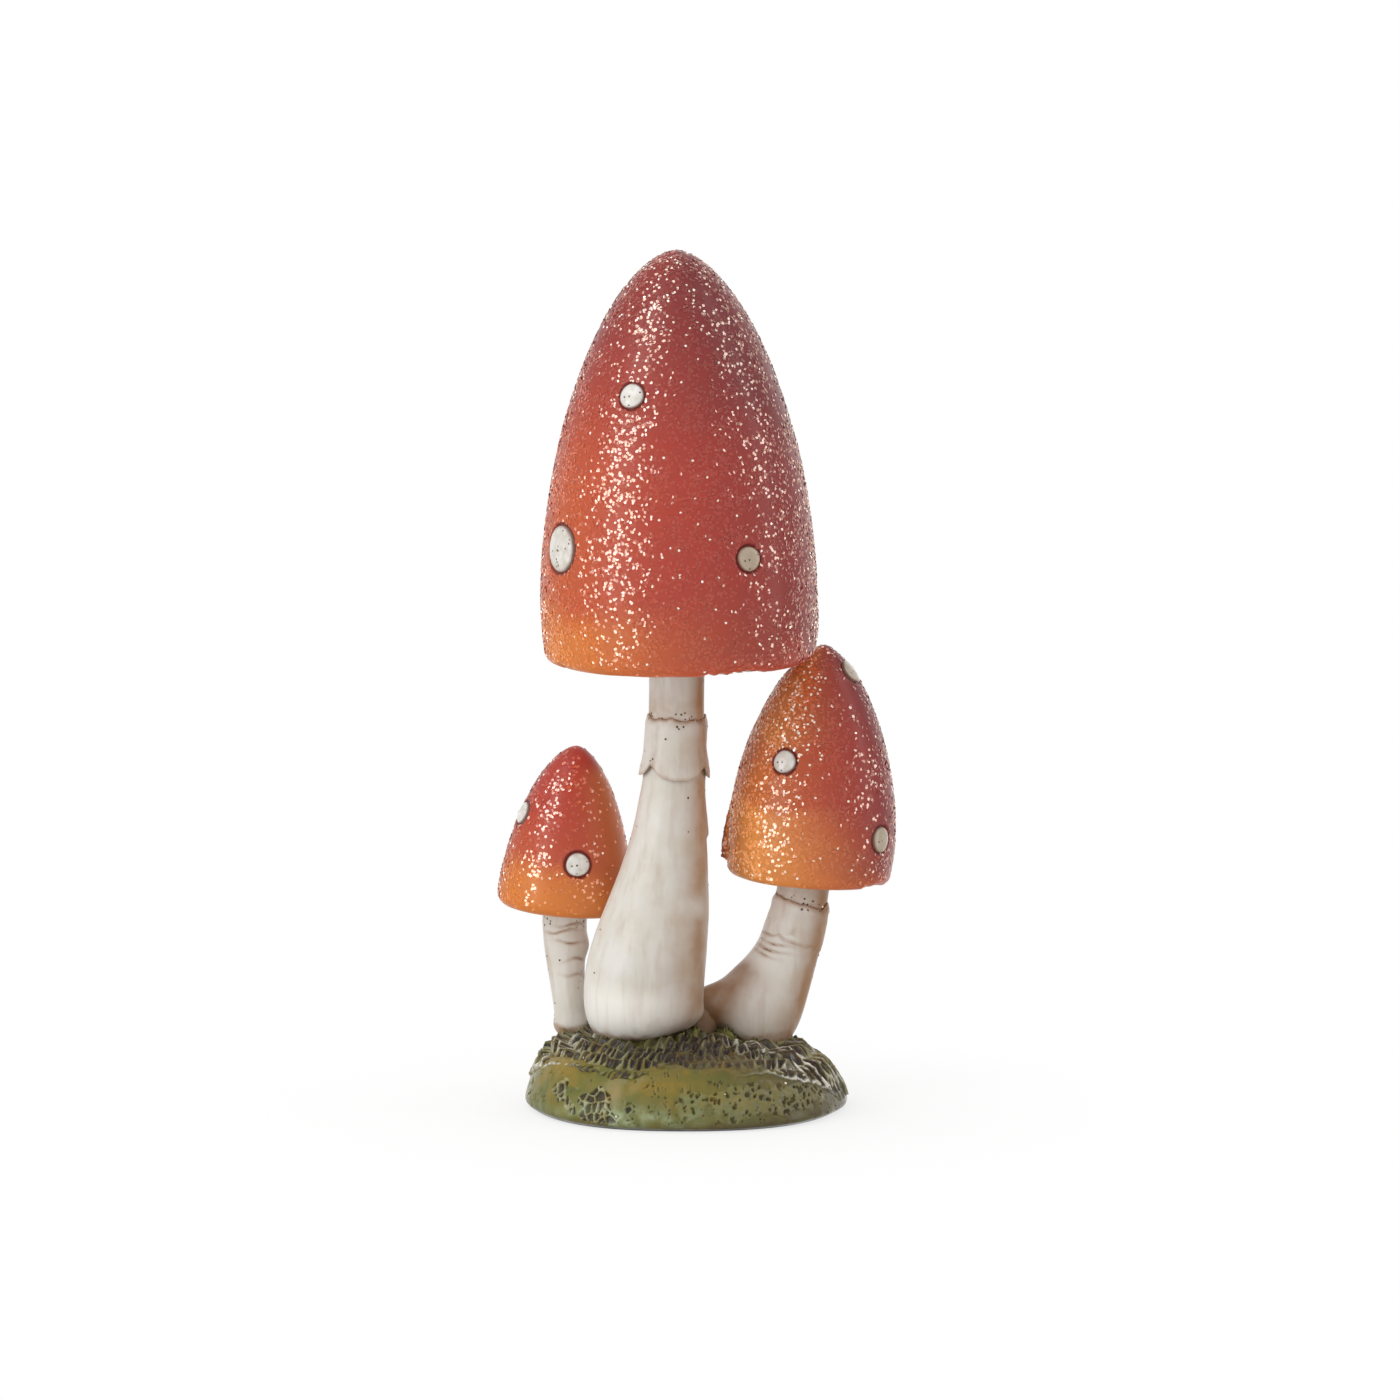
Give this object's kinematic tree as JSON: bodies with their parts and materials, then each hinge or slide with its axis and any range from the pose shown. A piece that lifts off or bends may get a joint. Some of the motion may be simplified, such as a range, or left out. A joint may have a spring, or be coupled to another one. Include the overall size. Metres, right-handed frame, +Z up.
{
  "type": "mushroom ornament",
  "caption": "Free-standing table ornament: a cluster of tall spotted toadstools with pointed bell caps and ringed stems on a mossy mound.",
  "frame": {"origin": "centre of the mound's flat underside", "axes": "+Z up along the stems, -Y the front as pictured, +X to the right seen from the front"},
  "size_m": [0.0693, 0.053, 0.1494],
  "materials": {
    "cap": "cast resin, airbrushed red fading to orange at the rim, clear coat with silver glitter flakes",
    "stem": "cast resin, satin ivory paint with a brown wash rubbed into its creases",
    "collar": "cast resin, satin ivory paint with brown-washed ragged edges",
    "spot": "cast resin, off-white paint under gloss varnish",
    "moss": "cast resin with tooled moss relief, olive green and ochre paint, dark wash in the grooves, gloss varnish"
  },
  "bodies": {
    "root": {"base_mound": "moss", "large_stem": "stem", "large_collar": "collar", "large_cap": "cap", "large_cap_spot_1": "spot", "large_cap_spot_2": "spot", "large_cap_spot_3": "spot", "large_cap_spot_4": "spot", "large_cap_spot_5": "spot", "large_cap_spot_6": "spot", "large_cap_spot_7": "spot", "large_cap_spot_8": "spot", "large_cap_spot_9": "spot", "medium_stem": "stem", "medium_collar": "collar", "medium_cap": "cap", "medium_cap_spot_1": "spot", "medium_cap_spot_2": "spot", "medium_cap_spot_3": "spot", "medium_cap_spot_4": "spot", "medium_cap_spot_5": "spot", "medium_cap_spot_6": "spot", "medium_cap_spot_7": "spot", "small_stem": "stem", "small_cap": "cap", "small_cap_spot_1": "spot", "small_cap_spot_2": "spot", "small_cap_spot_3": "spot", "small_cap_spot_4": "spot", "small_cap_spot_5": "spot"}
  },
  "joints": []
}
